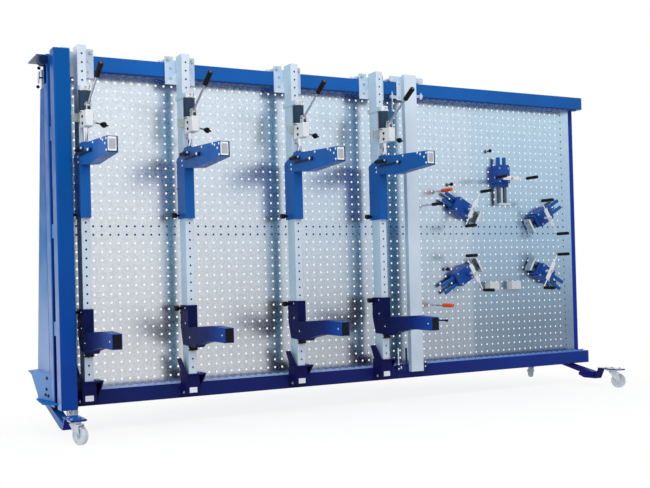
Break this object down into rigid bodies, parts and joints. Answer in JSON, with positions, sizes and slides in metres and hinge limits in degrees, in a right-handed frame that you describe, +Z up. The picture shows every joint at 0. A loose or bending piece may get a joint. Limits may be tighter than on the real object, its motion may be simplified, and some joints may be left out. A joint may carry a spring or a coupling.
{
  "type": "glue press",
  "caption": "Wheeled upright glue press: perforated board between two rails, sliding press columns with pump heads and clamping arms, a stop post and a ring of crank-driven frame clamps.",
  "frame": {"origin": "on the floor under the centre of the bounding box", "axes": "+X along the rails to the operator's right, +Y away from the operator through the board, +Z up"},
  "size_m": [4.06, 1.316, 2.203],
  "materials": {
    "blue_paint": "gloss",
    "light_grey_paint": "satin",
    "slate_paint": "satin",
    "black_paint": "satin",
    "galvanised": "satin",
    "zinc_steel": "satin",
    "rack_steel": "satin",
    "chrome": "polished",
    "polyamide": "satin"
  },
  "bodies": {
    "frame": {"top_rail": "blue_paint", "bottom_rail": "blue_paint", "left_column": "blue_paint", "left_end_posts": "blue_paint", "right_end_post": "blue_paint", "back_tube": "blue_paint", "left_foot": "blue_paint", "right_foot": "blue_paint", "clamp_housings": "blue_paint", "peg_boards": "galvanised", "frame_bolts": "zinc_steel", "board_pegs": "zinc_steel"},
    "lock_lever": {"left_lock_lever": "chrome"},
    "stop": {"stop_post": "light_grey_paint"},
    "fork_front_left": {"caster_fork_front_left": "zinc_steel"},
    "wheel_front_left": {"caster_wheel_front_left": "polyamide"},
    "fork_front_right": {"caster_fork_front_right": "zinc_steel"},
    "wheel_front_right": {"caster_wheel_front_right": "polyamide"},
    "fork_rear_left": {"caster_fork_rear_left": "zinc_steel"},
    "wheel_rear_left": {"caster_wheel_rear_left": "polyamide"},
    "fork_rear_right": {"caster_fork_rear_right": "zinc_steel"},
    "wheel_rear_right": {"caster_wheel_rear_right": "polyamide"},
    "jaw_1": {"clamp_jaw_1": "rack_steel"},
    "crank_1": {"clamp_crank_1": "chrome"},
    "jaw_2": {"clamp_jaw_2": "rack_steel"},
    "crank_2": {"clamp_crank_2": "chrome"},
    "jaw_3": {"clamp_jaw_3": "rack_steel"},
    "crank_3": {"clamp_crank_3": "chrome"},
    "jaw_4": {"clamp_jaw_4": "rack_steel"},
    "crank_4": {"clamp_crank_4": "chrome"},
    "jaw_5": {"clamp_jaw_5": "rack_steel"},
    "crank_5": {"clamp_crank_5": "chrome"},
    "press_1": {"press_1_column": "light_grey_paint"},
    "head_1": {"press_1_head": "slate_paint"},
    "upper_arm_1": {"press_1_upper_arm": "blue_paint"},
    "lower_arm_1": {"press_1_lower_arm": "blue_paint"},
    "pump_lever_1": {"press_1_pump_lever": "chrome"},
    "release_lever_1": {"press_1_release_lever": "chrome"},
    "arm_lock_1": {"press_1_arm_lock": "black_paint"},
    "press_2": {"press_2_column": "light_grey_paint"},
    "head_2": {"press_2_head": "slate_paint"},
    "upper_arm_2": {"press_2_upper_arm": "blue_paint"},
    "lower_arm_2": {"press_2_lower_arm": "blue_paint"},
    "pump_lever_2": {"press_2_pump_lever": "chrome"},
    "release_lever_2": {"press_2_release_lever": "chrome"},
    "arm_lock_2": {"press_2_arm_lock": "black_paint"},
    "press_3": {"press_3_column": "light_grey_paint"},
    "head_3": {"press_3_head": "slate_paint"},
    "upper_arm_3": {"press_3_upper_arm": "blue_paint"},
    "lower_arm_3": {"press_3_lower_arm": "blue_paint"},
    "pump_lever_3": {"press_3_pump_lever": "chrome"},
    "release_lever_3": {"press_3_release_lever": "chrome"},
    "arm_lock_3": {"press_3_arm_lock": "black_paint"},
    "press_4": {"press_4_column": "light_grey_paint"},
    "head_4": {"press_4_head": "slate_paint"},
    "upper_arm_4": {"press_4_upper_arm": "blue_paint"},
    "lower_arm_4": {"press_4_lower_arm": "blue_paint"},
    "pump_lever_4": {"press_4_pump_lever": "chrome"},
    "release_lever_4": {"press_4_release_lever": "chrome"},
    "arm_lock_4": {"press_4_arm_lock": "black_paint"}
  },
  "joints": [
    {"name": "lock_lever_turn", "type": "hinge", "parent": "frame", "child": "lock_lever", "pos_m": [-1.985, 0.148, 2.037], "axis": [1, 0, 0], "range_deg": [-60, 60]},
    {"name": "stop_post_slide", "type": "slide", "parent": "frame", "child": "stop", "axis": [1, 0, 0], "range_m": [0, 0.12]},
    {"name": "swivel_front_left", "type": "hinge", "parent": "frame", "child": "fork_front_left", "pos_m": [-1.935, -0.325, 0.11], "axis": [0, 0, 1], "continuous": true},
    {"name": "roll_front_left", "type": "hinge", "parent": "fork_front_left", "child": "wheel_front_left", "pos_m": [-1.91911, -0.35618, 0.05], "axis": [0.891, 0.454, 0], "continuous": true},
    {"name": "swivel_front_right", "type": "hinge", "parent": "frame", "child": "fork_front_right", "pos_m": [1.932, -0.325, 0.11], "axis": [0, 0, 1], "continuous": true},
    {"name": "roll_front_right", "type": "hinge", "parent": "fork_front_right", "child": "wheel_front_right", "pos_m": [1.95675, -0.34975, 0.05], "axis": [0.7071, 0.7071, 0], "continuous": true},
    {"name": "swivel_rear_left", "type": "hinge", "parent": "frame", "child": "fork_rear_left", "pos_m": [-1.72, 0.565, 0.11], "axis": [0, 0, 1], "continuous": true},
    {"name": "roll_rear_left", "type": "hinge", "parent": "fork_rear_left", "child": "wheel_rear_left", "pos_m": [-1.73023, 0.59847, 0.05], "axis": [-0.9563, -0.2924, 0], "continuous": true},
    {"name": "swivel_rear_right", "type": "hinge", "parent": "frame", "child": "fork_rear_right", "pos_m": [1.932, 0.565, 0.11], "axis": [0, 0, 1], "continuous": true},
    {"name": "roll_rear_right", "type": "hinge", "parent": "fork_rear_right", "child": "wheel_rear_right", "pos_m": [1.9495, 0.59531, 0.05], "axis": [-0.866, 0.5, 0], "continuous": true},
    {"name": "crank_1_turn", "type": "hinge", "parent": "frame", "child": "crank_1", "pos_m": [1.292, 0.02, 1.526], "axis": [0, -1, 0], "range_deg": [-120, 120]},
    {"name": "jaw_1_slide", "type": "slide", "parent": "frame", "child": "jaw_1", "axis": [0, 0, -1], "range_m": [-0.0255, 0.0255]},
    {"name": "crank_2_turn", "type": "hinge", "parent": "frame", "child": "crank_2", "pos_m": [0.94559, 0.02, 1.301], "axis": [0, -1, 0], "range_deg": [-120, 120]},
    {"name": "jaw_2_slide", "type": "slide", "parent": "frame", "child": "jaw_2", "axis": [0.866, 0, -0.5], "range_m": [-0.0255, 0.0255]},
    {"name": "crank_3_turn", "type": "hinge", "parent": "frame", "child": "crank_3", "pos_m": [1.63841, 0.02, 1.244], "axis": [0, -1, 0], "range_deg": [-120, 120]},
    {"name": "jaw_3_slide", "type": "slide", "parent": "frame", "child": "jaw_3", "axis": [-0.866, 0, -0.5], "range_m": [-0.0255, 0.0255]},
    {"name": "crank_4_turn", "type": "hinge", "parent": "frame", "child": "crank_4", "pos_m": [0.94559, 0.02, 0.851], "axis": [0, -1, 0], "range_deg": [-120, 120]},
    {"name": "jaw_4_slide", "type": "slide", "parent": "frame", "child": "jaw_4", "axis": [0.866, 0, 0.5], "range_m": [-0.0255, 0.0255]},
    {"name": "crank_5_turn", "type": "hinge", "parent": "frame", "child": "crank_5", "pos_m": [1.63841, 0.02, 0.851], "axis": [0, -1, 0], "range_deg": [-120, 120]},
    {"name": "jaw_5_slide", "type": "slide", "parent": "frame", "child": "jaw_5", "axis": [-0.866, 0, 0.5], "range_m": [-0.0255, 0.0255]},
    {"name": "press_1_slide", "type": "slide", "parent": "frame", "child": "press_1", "axis": [1, 0, 0], "range_m": [0, 0.15]},
    {"name": "head_1_height", "type": "slide", "parent": "press_1", "child": "head_1", "axis": [0, 0, 1], "range_m": [-0.15, 0.06]},
    {"name": "ram_1_press", "type": "slide", "parent": "head_1", "child": "upper_arm_1", "axis": [0, 0, -1], "range_m": [-0.045, 0.06]},
    {"name": "lower_arm_1_height", "type": "slide", "parent": "press_1", "child": "lower_arm_1", "axis": [0, 0, 1], "range_m": [-0.08, 0.25]},
    {"name": "pump_lever_1_swing", "type": "hinge", "parent": "head_1", "child": "pump_lever_1", "pos_m": [-1.796, -0.2, 1.835], "axis": [1, 0, 0], "range_deg": [-25, 30]},
    {"name": "release_1_tilt", "type": "hinge", "parent": "head_1", "child": "release_lever_1", "pos_m": [-1.76, -0.17, 1.743], "axis": [0, 1, 0], "range_deg": [-20, 0]},
    {"name": "arm_lock_1_swing", "type": "hinge", "parent": "upper_arm_1", "child": "arm_lock_1", "pos_m": [-1.83, -0.358, 1.565], "axis": [1, 0, 0], "range_deg": [-35, 18]},
    {"name": "press_2_slide", "type": "slide", "parent": "frame", "child": "press_2", "axis": [1, 0, 0], "range_m": [-0.15, 0.15]},
    {"name": "head_2_height", "type": "slide", "parent": "press_2", "child": "head_2", "axis": [0, 0, 1], "range_m": [-0.15, 0.06]},
    {"name": "ram_2_press", "type": "slide", "parent": "head_2", "child": "upper_arm_2", "axis": [0, 0, -1], "range_m": [-0.045, 0.06]},
    {"name": "lower_arm_2_height", "type": "slide", "parent": "press_2", "child": "lower_arm_2", "axis": [0, 0, 1], "range_m": [-0.08, 0.25]},
    {"name": "pump_lever_2_swing", "type": "hinge", "parent": "head_2", "child": "pump_lever_2", "pos_m": [-1.182, -0.2, 1.835], "axis": [1, 0, 0], "range_deg": [-25, 30]},
    {"name": "release_2_tilt", "type": "hinge", "parent": "head_2", "child": "release_lever_2", "pos_m": [-1.146, -0.17, 1.743], "axis": [0, 1, 0], "range_deg": [-20, 0]},
    {"name": "arm_lock_2_swing", "type": "hinge", "parent": "upper_arm_2", "child": "arm_lock_2", "pos_m": [-1.216, -0.358, 1.565], "axis": [1, 0, 0], "range_deg": [-35, 18]},
    {"name": "press_3_slide", "type": "slide", "parent": "frame", "child": "press_3", "axis": [1, 0, 0], "range_m": [-0.15, 0.15]},
    {"name": "head_3_height", "type": "slide", "parent": "press_3", "child": "head_3", "axis": [0, 0, 1], "range_m": [-0.15, 0.06]},
    {"name": "ram_3_press", "type": "slide", "parent": "head_3", "child": "upper_arm_3", "axis": [0, 0, -1], "range_m": [-0.045, 0.06]},
    {"name": "lower_arm_3_height", "type": "slide", "parent": "press_3", "child": "lower_arm_3", "axis": [0, 0, 1], "range_m": [-0.08, 0.25]},
    {"name": "pump_lever_3_swing", "type": "hinge", "parent": "head_3", "child": "pump_lever_3", "pos_m": [-0.464, -0.2, 1.835], "axis": [1, 0, 0], "range_deg": [-25, 30]},
    {"name": "release_3_tilt", "type": "hinge", "parent": "head_3", "child": "release_lever_3", "pos_m": [-0.428, -0.17, 1.743], "axis": [0, 1, 0], "range_deg": [-20, 0]},
    {"name": "arm_lock_3_swing", "type": "hinge", "parent": "upper_arm_3", "child": "arm_lock_3", "pos_m": [-0.498, -0.358, 1.565], "axis": [1, 0, 0], "range_deg": [-35, 18]},
    {"name": "press_4_slide", "type": "slide", "parent": "frame", "child": "press_4", "axis": [1, 0, 0], "range_m": [-0.15, 0.01]},
    {"name": "head_4_height", "type": "slide", "parent": "press_4", "child": "head_4", "axis": [0, 0, 1], "range_m": [-0.15, 0.06]},
    {"name": "ram_4_press", "type": "slide", "parent": "head_4", "child": "upper_arm_4", "axis": [0, 0, -1], "range_m": [-0.045, 0.06]},
    {"name": "lower_arm_4_height", "type": "slide", "parent": "press_4", "child": "lower_arm_4", "axis": [0, 0, 1], "range_m": [-0.08, 0.25]},
    {"name": "pump_lever_4_swing", "type": "hinge", "parent": "head_4", "child": "pump_lever_4", "pos_m": [0.16, -0.2, 1.835], "axis": [1, 0, 0], "range_deg": [-25, 30]},
    {"name": "release_4_tilt", "type": "hinge", "parent": "head_4", "child": "release_lever_4", "pos_m": [0.196, -0.17, 1.743], "axis": [0, 1, 0], "range_deg": [-20, 0]},
    {"name": "arm_lock_4_swing", "type": "hinge", "parent": "upper_arm_4", "child": "arm_lock_4", "pos_m": [0.126, -0.358, 1.565], "axis": [1, 0, 0], "range_deg": [-35, 18]}
  ],
  "couplings": [
    {"joint": "jaw_1_slide", "follows": "crank_1_turn", "m_per_rad": 0.012},
    {"joint": "jaw_2_slide", "follows": "crank_2_turn", "m_per_rad": 0.012},
    {"joint": "jaw_3_slide", "follows": "crank_3_turn", "m_per_rad": 0.012},
    {"joint": "jaw_4_slide", "follows": "crank_4_turn", "m_per_rad": 0.012},
    {"joint": "jaw_5_slide", "follows": "crank_5_turn", "m_per_rad": 0.012}
  ]
}
